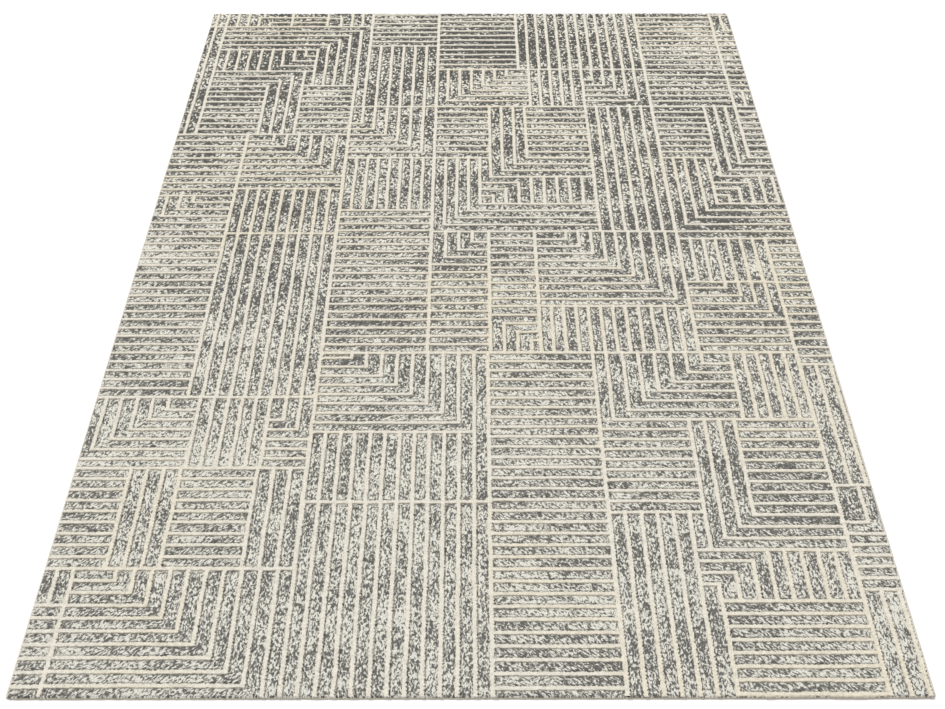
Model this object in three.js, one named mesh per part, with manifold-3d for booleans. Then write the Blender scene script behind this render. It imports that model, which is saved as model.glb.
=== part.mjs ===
// Area rug, 5 ft by 8 ft, woven with a low mottled pile and raised cream lines of higher pile.
// Millimetres, +Z up. The rug lies flat: +X to its right, +Y along its length.
// The origin is on the floor, under its centre.

import * as THREE from "three";
import { mergeVertices } from "three/addons/utils/BufferGeometryUtils.js";
import Module from "manifold-3d";

const wasm = await Module();
wasm.setup();

// Overall size
const RUG_WIDTH = 1524;
const RUG_LENGTH = 2438;

// Heights of the layers, from the floor up
const BACKING_THICKNESS = 1.0; // latex coat, and the tape at the ends
const WEAVE_THICKNESS = 1.6;
const LOW_PILE_HEIGHT = 3.0;
const RAISED_PILE_HEIGHT = 2.0;
const GAP = 0.3; // between pieces that lie against each other

// The pattern is drawn on point paper: one point is one tuft across and one tuft along
const POINTS_ACROSS = 476;
const POINTS_ALONG = 762;
const LINE_POINTS = 2.75; // width of a cream line
const MEETING_POINTS = 1.6; // an end this close to a line runs into it

// Long edges: a cord with yarn wrapped round it
const SERGING_WIDTH = 4.0;
const SERGING_HEIGHT = 4.8;
const SERGING_WALL = 1.0;
const SERGING_ROUNDING = 1.6;
const SERGING_LEAST_ROUNDING = 0.1; // inside, where the wall uses up the rounding
const SERGING_CURVE_SIDES = 4; // flats to a quarter turn
const CORD_SIDES = 12;

// Short ends: taped underneath, with one seam along the tape
const HEM_TAPE_WIDTH = 32;
const HEM_SEAM_INSET = 24; // from the rug's end to the seam
const HEM_THREAD_WIDTH = 1.4;
const HEM_THREAD_THICKNESS = 0.4;

const SIMPLIFY_TOLERANCE = 0.02; // flat faces joined up where the lines meet
const WELD_DISTANCE = 1e-4; // corners this close are one corner
const CUT_PAST = 1; // how far a cutting block runs past what it cuts

// Worked out from the sizes above
const WEAVE_Z = BACKING_THICKNESS + GAP;
const LOW_PILE_Z = WEAVE_Z + WEAVE_THICKNESS + GAP;
const RAISED_PILE_Z = LOW_PILE_Z + LOW_PILE_HEIGHT + GAP;
const EDGE_Z = SERGING_HEIGHT / 2;
const EDGE_X = (RUG_WIDTH - SERGING_WIDTH) / 2;
const CORD_RADIUS = Math.min(SERGING_WIDTH - SERGING_WALL, SERGING_HEIGHT - 2 * SERGING_WALL) / 2 - GAP;
const FIELD_WIDTH = RUG_WIDTH - 2 * (SERGING_WIDTH + GAP);
const POINT_X = RUG_WIDTH / POINTS_ACROSS;
const POINT_Y = RUG_LENGTH / POINTS_ALONG;

// Blocks of lines on the point paper, counted from the near left corner, each evenly spaced.
// Across: [left, right, first, last, how many], lines that run across the rug.
const ACROSS = [
  [0, 17.2, 6.6, 60.2, 7], [0, 34.2, 86.2, 165.5, 10], [64, 110, 86.2, 165.5, 10],
  [34.2, 139.3, 86.2, 86.2, 1], [34.2, 139.3, 165.5, 165.5, 1], [139.3, 249, 137.4, 137.4, 1],
  [249, 318, 5.4, 273.2, 31], [375, 452.4, 1.5, 62.5, 8], [452.4, 476, 70.7, 112.2, 6],
  [452.4, 476, 150.7, 150.7, 1], [364.5, 452.4, 99.7, 99.7, 1], [318, 373.7, 129, 199.4, 9],
  [402, 452.4, 126.8, 208.2, 10], [327, 452.4, 208.2, 208.2, 1], [0, 66.5, 173.6, 173.6, 1],
  [0, 139.3, 229.4, 229.4, 1], [111, 139.3, 173.9, 190.7, 3], [0, 58, 229.4, 423.5, 23],
  [139.3, 240, 197, 197, 1], [139.3, 452.4, 273.2, 273.2, 1], [139.3, 209.1, 273.2, 439.7, 20],
  [209.1, 251, 273.2, 371, 12], [251, 284.5, 322.9, 411.8, 11], [284.5, 388.6, 322.9, 322.9, 1],
  [388.6, 452.4, 273.2, 308.2, 5], [388.6, 452.4, 350.2, 350.2, 1], [452.4, 476, 261, 402.7, 17],
  [388.6, 476, 402.7, 402.7, 1], [58, 139.3, 409.5, 409.5, 1], [209.1, 476, 411.8, 411.8, 1],
  [0, 58, 459.4, 548.2, 11], [58, 139.3, 469, 486.4, 3], [253.3, 333.3, 485.3, 485.3, 1],
  [0, 139.3, 548.2, 548.2, 1], [209.1, 253, 512.7, 592.3, 10], [139.3, 209.1, 512.7, 512.7, 1],
  [282.5, 333.3, 512.7, 592.3, 10], [388.4, 431.8, 512.7, 592.3, 10], [458, 476, 512.7, 592.3, 10],
  [139.3, 476, 592.3, 592.3, 1], [15.3, 65.2, 556.8, 626.5, 9], [94.5, 139.3, 556.9, 627.5, 9],
  [209.1, 388.4, 655.8, 655.8, 1], [388.4, 458, 592.3, 753.3, 19], [458, 476, 618.3, 717.5, 12],
  [458, 476, 758, 758, 1], [15.3, 102.6, 652.8, 652.8, 1], [0, 148.4, 735.5, 735.5, 1],
  [74.5, 107, 744, 753.5, 2], [148.4, 209.1, 698.5, 759, 8], [209.1, 279, 655.8, 754.3, 12],
];
// Along: [near, far, first, last, how many], lines that run along the rug.
const ALONG = [
  [0, 86.2, 17.2, 17.2, 1], [60.2, 86.2, 8.1, 8.1, 1], [86.2, 165.5, 34.2, 64, 4],
  [0, 86.2, 130.7, 130.7, 1], [86.2, 165.5, 110, 139.3, 4], [0, 137.4, 139.9, 249, 13],
  [0, 129, 318, 364.5, 6], [0, 62.5, 374.6, 374.6, 1], [0, 402.7, 452.4, 452.4, 1],
  [0, 70.7, 463, 472.8, 2], [150.7, 261, 463, 472.5, 2], [62.5, 99.7, 405, 452.4, 6],
  [0, 273.2, 318, 318, 1], [99.7, 129, 364.5, 364.5, 1], [165.5, 229.4, 66.5, 111, 6],
  [165.5, 229.4, 139.3, 139.3, 1], [229.4, 469, 58, 139.3, 10], [137.4, 197, 139.3, 249, 13],
  [197, 273.2, 240, 249, 2], [208.2, 273.2, 408.3, 452.4, 6], [273.2, 469, 139.3, 139.3, 1],
  [273.2, 411.8, 251, 251, 1], [273.2, 592.3, 209.1, 209.1, 1], [273.2, 411.8, 284.5, 284.5, 1],
  [273.2, 322.9, 284.5, 343.6, 8], [273.2, 322.9, 343.6, 388.6, 6], [273.2, 592.3, 388.4, 388.4, 1],
  [350.2, 402.7, 388.6, 452.4, 8], [439.7, 512.7, 139.3, 209.1, 9], [448, 485.3, 284.5, 333.3, 6],
  [411.8, 592.3, 333.3, 388.4, 7], [448, 486, 461.5, 471, 2], [411.8, 548.2, 58, 58, 1],
  [469, 727, 139.3, 139.3, 1], [548.2, 735.5, 6, 15.3, 2], [548.2, 652.8, 94.5, 94.5, 1],
  [592.3, 698.5, 148.4, 209.1, 7], [592.3, 655.8, 287.9, 333.3, 6], [655.8, 762, 279, 388.4, 13],
  [592.3, 762, 388.4, 388.4, 1], [512.7, 762, 458, 458, 1], [592.3, 618.3, 467.7, 467.7, 1],
  [592.3, 762, 209.1, 209.1, 1], [652.8, 692, 24, 63, 5], [735.5, 762, 5.7, 34.3, 4],
  [735.5, 762, 74.5, 74.5, 1], [735.5, 762, 107, 107, 1], [735.5, 762, 129.5, 148.4, 3],
];
// Corners: [across to, along to, first and last corner across, first and last corner along, how many].
const CORNERS = [
  [17.2, 86.2, 41, 120.7, 77.7, 7, 9], [452.4, 150.7, 467, 467, 121, 121, 1],
  [364.5, 62.5, 374.6, 395.5, 74.5, 91.4, 3], [452.4, 208.2, 373.7, 402, 99.7, 126.8, 4],
  [408.3, 273.2, 327, 389.5, 208.2, 262, 7], [66.5, 229.4, 7, 46.8, 182, 217.6, 5],
  [111, 229.4, 121, 130.3, 208.3, 199.5, 2], [139.3, 273.2, 159.5, 230, 268, 205.5, 8],
  [251, 411.8, 219.5, 239, 380, 398.5, 3], [284.5, 273.2, 251, 278.5, 313.3, 286, 4],
  [284.5, 411.8, 307.5, 380, 402, 331, 9], [388.6, 350.2, 416, 443.6, 343.4, 317, 4],
  [58, 459.4, 7.7, 27.7, 432, 450.4, 3], [58, 548.2, 79.5, 129.5, 538.9, 494.9, 6],
  [333.3, 512.7, 218.3, 245, 420.6, 448, 4], [333.3, 592.3, 253.3, 282.5, 485.3, 512.7, 4],
  [245, 448, 255, 274.7, 459, 477, 3], [476, 512.7, 397.5, 424, 421, 448, 4],
  [476, 592.3, 432, 458, 486, 512.7, 4], [424, 448, 434, 452.4, 459.5, 477, 3],
  [15.3, 548.2, 65.2, 84.8, 626.5, 644, 3], [139.3, 592.3, 148.8, 198.7, 565.5, 521.3, 6],
  [287.9, 655.8, 218.5, 268.7, 602, 645.5, 6], [333.3, 655.8, 342.3, 379, 637, 602, 5],
  [476, 758, 467.6, 467.6, 727, 727, 1], [15.3, 627.5, 102.6, 129.9, 692, 718.4, 4],
  [15.3, 627.5, 139.3, 148.4, 727, 735.5, 2], [102.6, 692, 73, 92.2, 662.5, 680, 3],
  [74.5, 735.5, 44.3, 54.6, 753.5, 744, 2], [107, 735.5, 119.5, 119.5, 752, 752, 1],
];

function part(name, geometry, color, roughness) {
  const mesh = new THREE.Mesh(
    geometry,
    new THREE.MeshStandardMaterial({ color, roughness, metalness: 0 }),
  );
  mesh.name = name;
  return mesh;
}

function toSolid(geometry) {
  const bare = geometry.clone();
  bare.deleteAttribute("normal");
  bare.deleteAttribute("uv");
  const merged = mergeVertices(bare, WELD_DISTANCE);
  return new wasm.Manifold(
    new wasm.Mesh({
      numProp: 3,
      vertProperties: merged.attributes.position.array,
      triVerts: new Uint32Array(merged.index.array),
    }),
  );
}

function toGeometry(solid) {
  const mesh = solid.getMesh();
  const geometry = new THREE.BufferGeometry();
  geometry.setAttribute("position", new THREE.BufferAttribute(mesh.vertProperties, 3));
  geometry.setIndex(new THREE.BufferAttribute(mesh.triVerts, 1));
  geometry.computeVertexNormals();
  return geometry;
}

// Evenly spaced numbers from first to last.
function spaced(first, last, count) {
  const step = count > 1 ? (last - first) / (count - 1) : 0;
  return Array.from({ length: count }, (_, i) => first + i * step);
}

// Every stretch of line as [x0, y0, x1, y1] in points.
function lineStretches() {
  const stretches = [];
  for (const [left, right, first, last, count] of ACROSS) {
    for (const y of spaced(first, last, count)) {
      stretches.push([left, y, right, y]);
    }
  }
  for (const [near, far, first, last, count] of ALONG) {
    for (const x of spaced(first, last, count)) {
      stretches.push([x, near, x, far]);
    }
  }
  for (const [acrossTo, alongTo, x0, x1, y0, y1, count] of CORNERS) {
    const ys = spaced(y0, y1, count);
    spaced(x0, x1, count).forEach((x, i) => {
      stretches.push([acrossTo, ys[i], x, ys[i]]);
      stretches.push([x, ys[i], x, alongTo]);
    });
  }
  return stretches;
}

// Every stretch's ends settled on the middle of the line that each runs into.
function settled(stretches) {
  const near = MEETING_POINTS;
  const crossing = (along, end, across) => {
    const met = stretches
      .filter(([x0, y0, x1, y1]) => (along === 0 ? x0 === x1 : y0 === y1))
      .filter((other) => Math.abs(other[along] - end) < near)
      .filter((other) => Math.min(other[1 - along], other[3 - along]) - near < across)
      .filter((other) => Math.max(other[1 - along], other[3 - along]) + near > across)
      .map((other) => other[along]);
    met.sort((a, b) => Math.abs(a - end) - Math.abs(b - end));
    return met.length ? met[0] : end;
  };
  return stretches.map(([x0, y0, x1, y1]) =>
    y0 === y1
      ? [crossing(0, x0, y0), y0, crossing(0, x1, y0), y0]
      : [x0, crossing(1, y0, x0), x0, crossing(1, y1, x0)],
  );
}

// One stretch of raised line, its ends carried half a line's width into whatever it meets.
function lineBox([x0, y0, x1, y1]) {
  const half = LINE_POINTS / 2;
  const xs = [Math.min(x0, x1) - half, Math.max(x0, x1) + half];
  const ys = [Math.min(y0, y1) - half, Math.max(y0, y1) + half];
  const toX = (point) => point * POINT_X - RUG_WIDTH / 2;
  const toY = (point) => point * POINT_Y - RUG_LENGTH / 2;
  const left = Math.max(toX(xs[0]), -FIELD_WIDTH / 2);
  const right = Math.min(toX(xs[1]), FIELD_WIDTH / 2);
  const near = Math.max(toY(ys[0]), -RUG_LENGTH / 2);
  const far = Math.min(toY(ys[1]), RUG_LENGTH / 2);
  const box = new THREE.BoxGeometry(right - left, far - near, RAISED_PILE_HEIGHT);
  box.translate((left + right) / 2, (near + far) / 2, RAISED_PILE_Z + RAISED_PILE_HEIGHT / 2);
  return toSolid(box);
}

// The raised cream lines: one connected net of higher pile, running out to all four edges.
function creamLinePile() {
  const net = wasm.Manifold.union(settled(lineStretches()).map(lineBox));
  const plain = net.asOriginal().simplify(SIMPLIFY_TOLERANCE);
  return part("cream_line_pile", toGeometry(plain), 0xe9e2d6, 0.95);
}

// A flat layer of the rug's body, between the two wrapped edges.
function layer(name, length, z, thickness, color, roughness) {
  const mesh = part(name, new THREE.BoxGeometry(FIELD_WIDTH, length, thickness), color, roughness);
  mesh.position.z = z + thickness / 2;
  return mesh;
}

// Yarn wrapped over the edge cord, open towards the rug where it goes into the weave.
// Drawn in section with x outward from the rug and y up, then run along the edge.
function edgeSerging(name, side) {
  const wall = SERGING_WALL;
  const round = Math.min(SERGING_ROUNDING, SERGING_WIDTH / 2, SERGING_HEIGHT / 2);
  const inner = Math.max(round - wall, SERGING_LEAST_ROUNDING);
  const right = SERGING_WIDTH / 2;
  const top = SERGING_HEIGHT / 2;
  const section = new THREE.Shape();
  section.moveTo(-right, -top);
  section.absarc(right - round, -top + round, round, -Math.PI / 2, 0, false);
  section.absarc(right - round, top - round, round, 0, Math.PI / 2, false);
  section.lineTo(-right, top);
  section.lineTo(-right, top - wall);
  section.absarc(right - wall - inner, top - wall - inner, inner, Math.PI / 2, 0, true);
  section.absarc(right - wall - inner, -top + wall + inner, inner, 0, -Math.PI / 2, true);
  section.lineTo(-right, -top + wall);
  section.closePath();
  const geometry = new THREE.ExtrudeGeometry(section, {
    depth: RUG_LENGTH,
    bevelEnabled: false,
    curveSegments: SERGING_CURVE_SIDES,
  });
  geometry.translate(0, 0, -RUG_LENGTH / 2);
  geometry.rotateX(Math.PI / 2);
  if (side < 0) {
    geometry.rotateZ(Math.PI);
  }
  const mesh = part(name, geometry, 0xd9d0c0, 0.9);
  mesh.position.set(side * EDGE_X, 0, EDGE_Z);
  return mesh;
}

// The cord that stiffens a long edge, inside its wrapping.
function edgeCord(name, side) {
  const geometry = new THREE.CylinderGeometry(CORD_RADIUS, CORD_RADIUS, RUG_LENGTH, CORD_SIDES);
  const mesh = part(name, geometry, 0xc8b795, 0.9);
  mesh.position.set(side * (EDGE_X - SERGING_WALL / 2), 0, EDGE_Z);
  return mesh;
}

// Woven tape under a short end, with a shallow groove underneath that its seam sinks into.
function hemTape(name, end) {
  const tape = new THREE.BoxGeometry(FIELD_WIDTH, HEM_TAPE_WIDTH, BACKING_THICKNESS);
  tape.translate(0, end * (RUG_LENGTH - HEM_TAPE_WIDTH) / 2, BACKING_THICKNESS / 2);
  const depth = HEM_THREAD_THICKNESS + GAP;
  const cutLength = FIELD_WIDTH + 2 * CUT_PAST;
  const groove = new THREE.BoxGeometry(cutLength, HEM_THREAD_WIDTH + 2 * GAP, depth + CUT_PAST);
  groove.translate(0, end * (RUG_LENGTH / 2 - HEM_SEAM_INSET), (depth - CUT_PAST) / 2);
  const cut = toSolid(tape).subtract(toSolid(groove));
  return part(name, toGeometry(cut), 0xcbbd9f, 0.9);
}

// The line of lockstitch that holds the tape, seen underneath.
function hemStitching(name, end) {
  const thread = new THREE.BoxGeometry(FIELD_WIDTH, HEM_THREAD_WIDTH, HEM_THREAD_THICKNESS);
  const mesh = part(name, thread, 0xefe6d4, 0.8);
  mesh.position.set(0, end * (RUG_LENGTH / 2 - HEM_SEAM_INSET), HEM_THREAD_THICKNESS / 2);
  return mesh;
}

const coatLength = RUG_LENGTH - 2 * (HEM_TAPE_WIDTH + GAP);
const rug = new THREE.Group();
rug.name = "area_rug";
rug.add(
  layer("latex_backcoat", coatLength, 0, BACKING_THICKNESS, 0xd6cbb4, 0.85),
  layer("ground_weave", RUG_LENGTH, WEAVE_Z, WEAVE_THICKNESS, 0xb8a684, 0.95),
  layer("mottled_pile", RUG_LENGTH, LOW_PILE_Z, LOW_PILE_HEIGHT, 0xa5a298, 0.95),
  creamLinePile(),
  edgeCord("left_edge_cord", -1),
  edgeCord("right_edge_cord", 1),
  edgeSerging("left_edge_serging", -1),
  edgeSerging("right_edge_serging", 1),
  hemTape("near_hem_tape", -1),
  hemTape("far_hem_tape", 1),
  hemStitching("near_hem_stitching", -1),
  hemStitching("far_hem_stitching", 1),
);

export default rug;
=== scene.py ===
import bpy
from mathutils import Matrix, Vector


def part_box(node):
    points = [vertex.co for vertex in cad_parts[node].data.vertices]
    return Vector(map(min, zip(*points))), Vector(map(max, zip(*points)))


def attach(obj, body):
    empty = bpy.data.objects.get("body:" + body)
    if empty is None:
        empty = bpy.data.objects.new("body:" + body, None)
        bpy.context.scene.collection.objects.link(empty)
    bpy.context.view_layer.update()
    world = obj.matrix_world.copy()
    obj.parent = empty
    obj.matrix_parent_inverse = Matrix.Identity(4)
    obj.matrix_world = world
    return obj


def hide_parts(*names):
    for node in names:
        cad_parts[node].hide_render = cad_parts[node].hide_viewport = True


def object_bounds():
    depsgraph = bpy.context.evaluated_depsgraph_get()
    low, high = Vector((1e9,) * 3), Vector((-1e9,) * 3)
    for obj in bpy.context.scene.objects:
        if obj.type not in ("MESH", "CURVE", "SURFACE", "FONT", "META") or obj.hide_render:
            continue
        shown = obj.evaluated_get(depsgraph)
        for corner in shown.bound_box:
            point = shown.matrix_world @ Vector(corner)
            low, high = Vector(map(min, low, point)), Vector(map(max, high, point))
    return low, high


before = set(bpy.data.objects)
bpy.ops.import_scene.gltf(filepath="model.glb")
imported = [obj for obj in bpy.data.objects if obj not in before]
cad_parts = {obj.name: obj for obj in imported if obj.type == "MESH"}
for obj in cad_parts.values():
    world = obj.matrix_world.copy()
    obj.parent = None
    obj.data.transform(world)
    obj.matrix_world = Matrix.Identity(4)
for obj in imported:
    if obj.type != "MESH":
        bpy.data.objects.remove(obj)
cad_box = [list(corner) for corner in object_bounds()]

import math

import bpy
import numpy as np
from mathutils import Vector

bpy.ops.object.select_all(action="DESELECT")


# ---------------------------------------------------------------------------------------------
# The camera stands in the middle, back from the near end, at the height of a tall person's eyes,
# and looks down along the rug.
EYE_HEIGHT = 1.9
STEP_BACK = 1.392
LOOKING_DOWN = 40.08  # degrees below level
STANDING_ASIDE = 0.001
HEAD_TILT = -0.0013
near_end = cad_box[0][1]
rug_top = cad_box[1][2]
bpy.ops.object.camera_add(location=(STANDING_ASIDE, near_end - STEP_BACK, rug_top + EYE_HEIGHT))
camera = bpy.context.object
camera.name = "camera"
camera.rotation_euler = (math.radians(90 - LOOKING_DOWN), 0, HEAD_TILT)
camera.data.lens = 53.39
camera.data.sensor_width = 36
bpy.context.scene.camera = camera


# ---------------------------------------------------------------------------------------------
# The pattern, drawn on an even grid of points, about 3.2 mm apart both ways on the finished rug.
# Lines are placed in points from the near left corner, in blocks of evenly spaced ones. The grid is
# only a drawing unit: places fall between points, and it doesn't give the rug's count of tufts.
POINTS_ACROSS = 476
POINTS_ALONG = 762
# Across: [left, right, first, last, how many], lines that run across the rug.
ACROSS = [
  [0, 17.2, 6.6, 60.2, 7], [0, 34.2, 86.2, 165.5, 10], [64, 110, 86.2, 165.5, 10],
  [34.2, 139.3, 86.2, 86.2, 1], [34.2, 139.3, 165.5, 165.5, 1], [139.3, 249, 137.4, 137.4, 1],
  [249, 318, 5.4, 273.2, 31], [375, 452.4, 1.5, 62.5, 8], [452.4, 476, 70.7, 112.2, 6],
  [452.4, 476, 150.7, 150.7, 1], [364.5, 452.4, 99.7, 99.7, 1], [318, 373.7, 129, 199.4, 9],
  [402, 452.4, 126.8, 208.2, 10], [327, 452.4, 208.2, 208.2, 1], [0, 66.5, 173.6, 173.6, 1],
  [0, 139.3, 229.4, 229.4, 1], [111, 139.3, 173.9, 190.7, 3], [0, 58, 229.4, 423.5, 23],
  [139.3, 240, 197, 197, 1], [139.3, 452.4, 273.2, 273.2, 1], [139.3, 209.1, 273.2, 439.7, 20],
  [209.1, 251, 273.2, 371, 12], [251, 284.5, 322.9, 411.8, 11], [284.5, 388.6, 322.9, 322.9, 1],
  [388.6, 452.4, 273.2, 308.2, 5], [388.6, 452.4, 350.2, 350.2, 1], [452.4, 476, 261, 402.7, 17],
  [388.6, 476, 402.7, 402.7, 1], [58, 139.3, 409.5, 409.5, 1], [209.1, 476, 411.8, 411.8, 1],
  [0, 58, 459.4, 548.2, 11], [58, 139.3, 469, 486.4, 3], [253.3, 333.3, 485.3, 485.3, 1],
  [0, 139.3, 548.2, 548.2, 1], [209.1, 253, 512.7, 592.3, 10], [139.3, 209.1, 512.7, 512.7, 1],
  [282.5, 333.3, 512.7, 592.3, 10], [388.4, 431.8, 512.7, 592.3, 10], [458, 476, 512.7, 592.3, 10],
  [139.3, 476, 592.3, 592.3, 1], [15.3, 65.2, 556.8, 626.5, 9], [94.5, 139.3, 556.9, 627.5, 9],
  [209.1, 388.4, 655.8, 655.8, 1], [388.4, 458, 592.3, 753.3, 19], [458, 476, 618.3, 717.5, 12],
  [458, 476, 758, 758, 1], [15.3, 102.6, 652.8, 652.8, 1], [0, 148.4, 735.5, 735.5, 1],
  [74.5, 107, 744, 753.5, 2], [148.4, 209.1, 698.5, 759, 8], [209.1, 279, 655.8, 754.3, 12],
]
# Along: [near, far, first, last, how many], lines that run along the rug.
ALONG = [
  [0, 86.2, 17.2, 17.2, 1], [60.2, 86.2, 8.1, 8.1, 1], [86.2, 165.5, 34.2, 64, 4],
  [0, 86.2, 130.7, 130.7, 1], [86.2, 165.5, 110, 139.3, 4], [0, 137.4, 139.9, 249, 13],
  [0, 129, 318, 364.5, 6], [0, 62.5, 374.6, 374.6, 1], [0, 402.7, 452.4, 452.4, 1],
  [0, 70.7, 463, 472.8, 2], [150.7, 261, 463, 472.5, 2], [62.5, 99.7, 405, 452.4, 6],
  [0, 273.2, 318, 318, 1], [99.7, 129, 364.5, 364.5, 1], [165.5, 229.4, 66.5, 111, 6],
  [165.5, 229.4, 139.3, 139.3, 1], [229.4, 469, 58, 139.3, 10], [137.4, 197, 139.3, 249, 13],
  [197, 273.2, 240, 249, 2], [208.2, 273.2, 408.3, 452.4, 6], [273.2, 469, 139.3, 139.3, 1],
  [273.2, 411.8, 251, 251, 1], [273.2, 592.3, 209.1, 209.1, 1], [273.2, 411.8, 284.5, 284.5, 1],
  [273.2, 322.9, 284.5, 343.6, 8], [273.2, 322.9, 343.6, 388.6, 6], [273.2, 592.3, 388.4, 388.4, 1],
  [350.2, 402.7, 388.6, 452.4, 8], [439.7, 512.7, 139.3, 209.1, 9], [448, 485.3, 284.5, 333.3, 6],
  [411.8, 592.3, 333.3, 388.4, 7], [448, 486, 461.5, 471, 2], [411.8, 548.2, 58, 58, 1],
  [469, 727, 139.3, 139.3, 1], [548.2, 735.5, 6, 15.3, 2], [548.2, 652.8, 94.5, 94.5, 1],
  [592.3, 698.5, 148.4, 209.1, 7], [592.3, 655.8, 287.9, 333.3, 6], [655.8, 762, 279, 388.4, 13],
  [592.3, 762, 388.4, 388.4, 1], [512.7, 762, 458, 458, 1], [592.3, 618.3, 467.7, 467.7, 1],
  [592.3, 762, 209.1, 209.1, 1], [652.8, 692, 24, 63, 5], [735.5, 762, 5.7, 34.3, 4],
  [735.5, 762, 74.5, 74.5, 1], [735.5, 762, 107, 107, 1], [735.5, 762, 129.5, 148.4, 3],
]
# Corners: [across to, along to, first and last corner across, first and last corner along, how many].
CORNERS = [
  [17.2, 86.2, 41, 120.7, 77.7, 7, 9], [452.4, 150.7, 467, 467, 121, 121, 1],
  [364.5, 62.5, 374.6, 395.5, 74.5, 91.4, 3], [452.4, 208.2, 373.7, 402, 99.7, 126.8, 4],
  [408.3, 273.2, 327, 389.5, 208.2, 262, 7], [66.5, 229.4, 7, 46.8, 182, 217.6, 5],
  [111, 229.4, 121, 130.3, 208.3, 199.5, 2], [139.3, 273.2, 159.5, 230, 268, 205.5, 8],
  [251, 411.8, 219.5, 239, 380, 398.5, 3], [284.5, 273.2, 251, 278.5, 313.3, 286, 4],
  [284.5, 411.8, 307.5, 380, 402, 331, 9], [388.6, 350.2, 416, 443.6, 343.4, 317, 4],
  [58, 459.4, 7.7, 27.7, 432, 450.4, 3], [58, 548.2, 79.5, 129.5, 538.9, 494.9, 6],
  [333.3, 512.7, 218.3, 245, 420.6, 448, 4], [333.3, 592.3, 253.3, 282.5, 485.3, 512.7, 4],
  [245, 448, 255, 274.7, 459, 477, 3], [476, 512.7, 397.5, 424, 421, 448, 4],
  [476, 592.3, 432, 458, 486, 512.7, 4], [424, 448, 434, 452.4, 459.5, 477, 3],
  [15.3, 548.2, 65.2, 84.8, 626.5, 644, 3], [139.3, 592.3, 148.8, 198.7, 565.5, 521.3, 6],
  [287.9, 655.8, 218.5, 268.7, 602, 645.5, 6], [333.3, 655.8, 342.3, 379, 637, 602, 5],
  [476, 758, 467.6, 467.6, 727, 727, 1], [15.3, 627.5, 102.6, 129.9, 692, 718.4, 4],
  [15.3, 627.5, 139.3, 148.4, 727, 735.5, 2], [102.6, 692, 73, 92.2, 662.5, 680, 3],
  [74.5, 735.5, 44.3, 54.6, 753.5, 744, 2], [107, 735.5, 119.5, 119.5, 752, 752, 1],
]
MEETING_POINTS = 1.6  # how far an end may fall short of the line that it meets

rug_low = Vector(cad_box[0])
rug_high = Vector(cad_box[1])
point_x = (rug_high.x - rug_low.x) / POINTS_ACROSS
point_y = (rug_high.y - rug_low.y) / POINTS_ALONG


def spaced(first, last, count):
    return [first + (last - first) * i / max(count - 1, 1) for i in range(count)]


def drawn_lines():
    """Each line as [left, near, right, far] in points, and the kind of block that it belongs to."""
    lines = []
    for left, right, first, last, count in ACROSS:
        lines += [[left, y, right, y, "across"] for y in spaced(first, last, count)]
    for near, far, first, last, count in ALONG:
        lines += [[x, near, x, far, "along"] for x in spaced(first, last, count)]
    for across_to, along_to, x0, x1, y0, y1, count in CORNERS:
        for x, y in zip(spaced(x0, x1, count), spaced(y0, y1, count)):
            lines.append([min(across_to, x), y, max(across_to, x), y, "corner"])
            lines.append([x, min(y, along_to), x, max(y, along_to), "corner"])
    return lines


def settled(lines):
    """Ends that nearly reach a crossing line are brought to its middle."""
    spans = np.array([line[:4] for line in lines])
    runs_across = spans[:, 1] == spans[:, 3]

    def meet(along, end, across):
        kind = ~runs_across if along == 0 else runs_across
        place = spans[:, along]
        other = 1 - along
        reached = kind & (abs(place - end) < MEETING_POINTS)
        reached &= (spans[:, other] - MEETING_POINTS < across) & (spans[:, other + 2] + MEETING_POINTS > across)
        found = place[reached]
        return found[np.argmin(abs(found - end))] if len(found) else end

    out = []
    for x0, y0, x1, y1, kind in lines:
        if y0 == y1:
            out.append((meet(0, x0, y0), y0, meet(0, x1, y0), y0, kind))
        else:
            out.append((x0, meet(1, y0, x0), x0, meet(1, y1, x0), kind))
    return out


lines = settled(drawn_lines())


# ---------------------------------------------------------------------------------------------
# Mottled pile: short cut tufts of grey and ivory yarn, tufted into the ground weave.
# It stands a little proud in the middle of each rib and sinks beside each cream line.
pile_low, pile_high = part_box("mottled_pile")
PILE_CELL = 2.0  # points to a side of the surface's mesh
RIB_CROWN = 0.0007  # how far the middle of a rib stands above its sides
TUFT_RISE = 0.00035  # how far one tuft stands above the next
TUFT_STRAY = 0.0004  # how far a tuft strays sideways
SLOPE_START = 1.5  # points from a line's middle to the foot of the rib's slope
SLOPE_WIDTH = 3.0
# Where the darker yarn gathers, and where the paler: [middle across, middle along, reach across,
# reach along, share], in points.
DARKER_PATCHES = [
    [230, 700, 150, 45, 0.9], [265, 680, 50, 30, 0.1], [372, 662, 45, 20, 0.6], [60, 680, 75, 60, 0.45],
    [165, 605, 60, 20, 0.4], [40, 600, 50, 35, 0.4], [420, 428, 75, 45, 0.75], [370, 385, 40, 12, 0.35],
    [450, 540, 40, 80, 0.35],
    [85, 338, 90, 22, 0.5], [225, 396, 25, 7, 0.5], [435, 140, 55, 45, 0.75], [115, 95, 80, 14, 0.45],
    [320, 14, 70, 18, 0.5], [330, 125, 60, 10, 0.4], [270, 252, 35, 9, 0.5], [370, 285, 60, 12, 0.4],
    [365, 38, 30, 18, 0.5], [335, 522, 70, 12, 0.4], [418, 590, 25, 45, 0.35], [120, 275, 40, 14, 0.3],
    [75, 470, 60, 10, 0.3], [230, 158, 30, 12, 0.35], [85, 28, 65, 16, 0.35], [20, 560, 40, 40, 0.25],
]
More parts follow.
